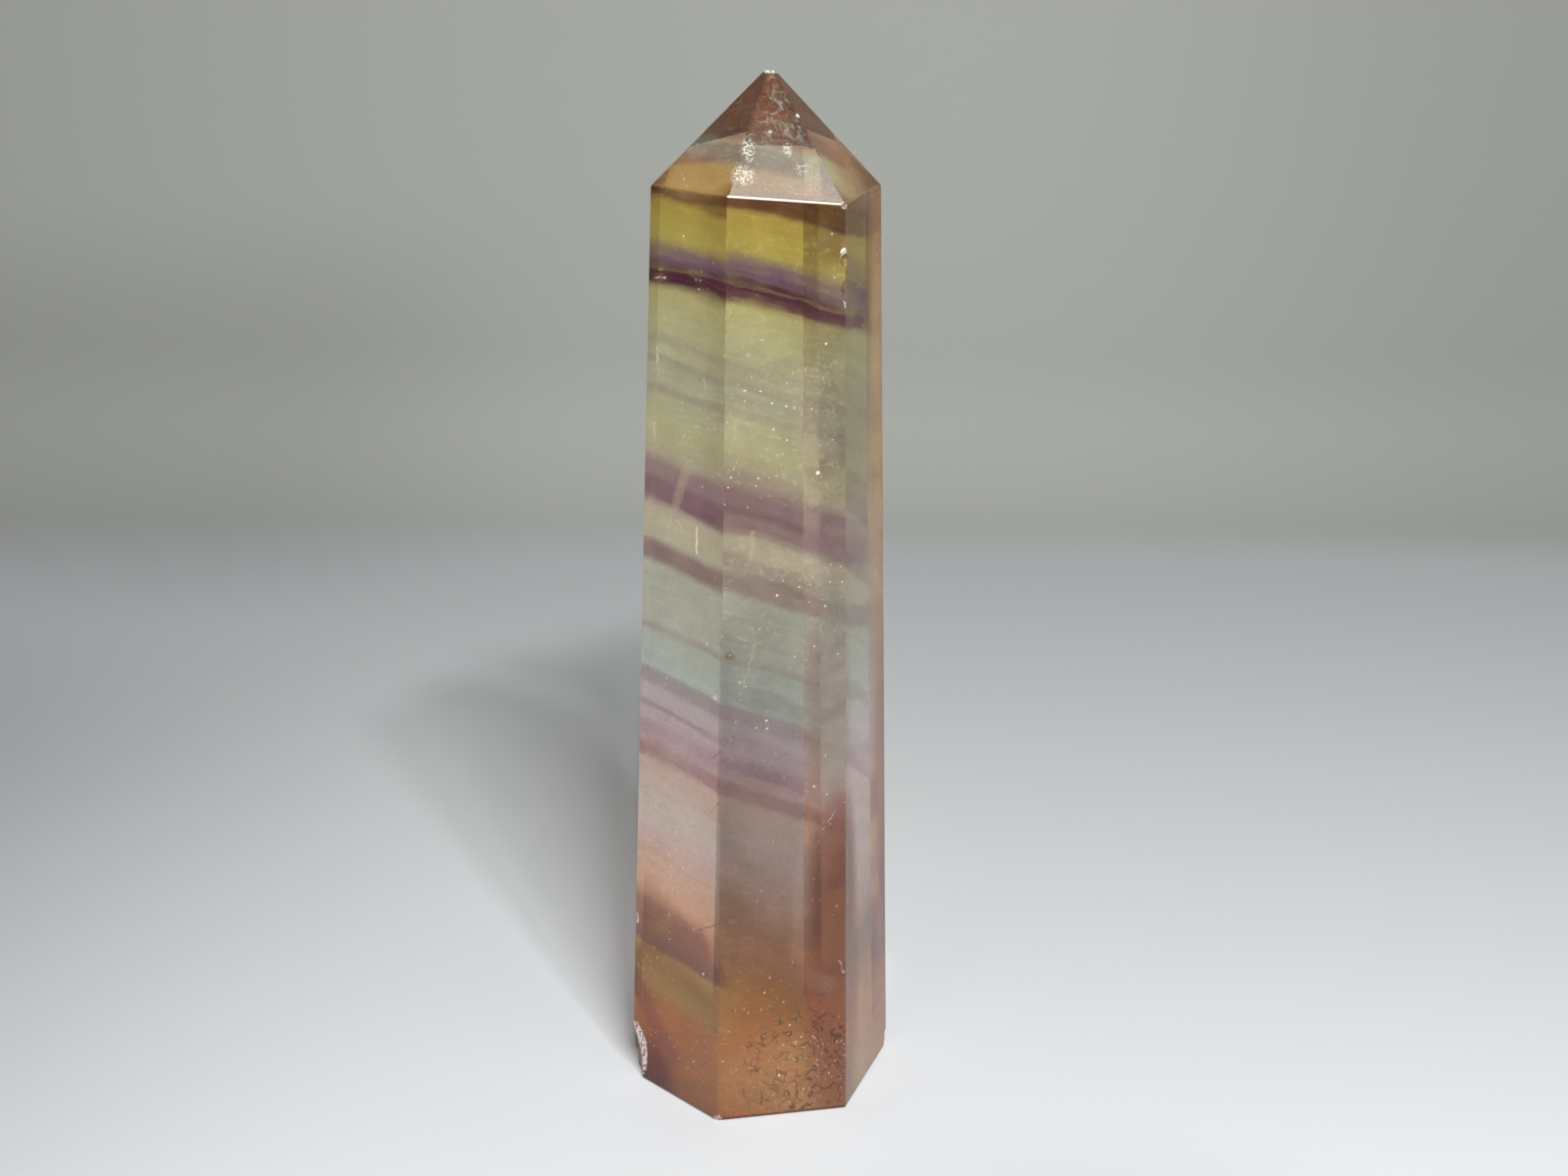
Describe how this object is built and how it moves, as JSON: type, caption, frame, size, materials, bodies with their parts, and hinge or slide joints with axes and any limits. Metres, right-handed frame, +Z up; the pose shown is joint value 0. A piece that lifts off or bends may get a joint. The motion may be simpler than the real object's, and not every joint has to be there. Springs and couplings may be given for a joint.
{
  "type": "fluorite point",
  "caption": "Tapering six-sided polished stone tower with a pointed six-faceted cap, standing on a flat foot.",
  "frame": {"origin": "middle of the flat foot, on the surface that the stone stands on", "axes": "+Z up along the stone to its tip, -Y out of the front facet"},
  "size_m": [0.024, 0.0206, 0.0895],
  "materials": {
    "banded_fluorite": "hand polished, clear to slightly cloudy, banded olive, purple, mint, rose and honey"
  },
  "bodies": {
    "root": {"fluorite_point": "banded_fluorite"}
  },
  "joints": []
}
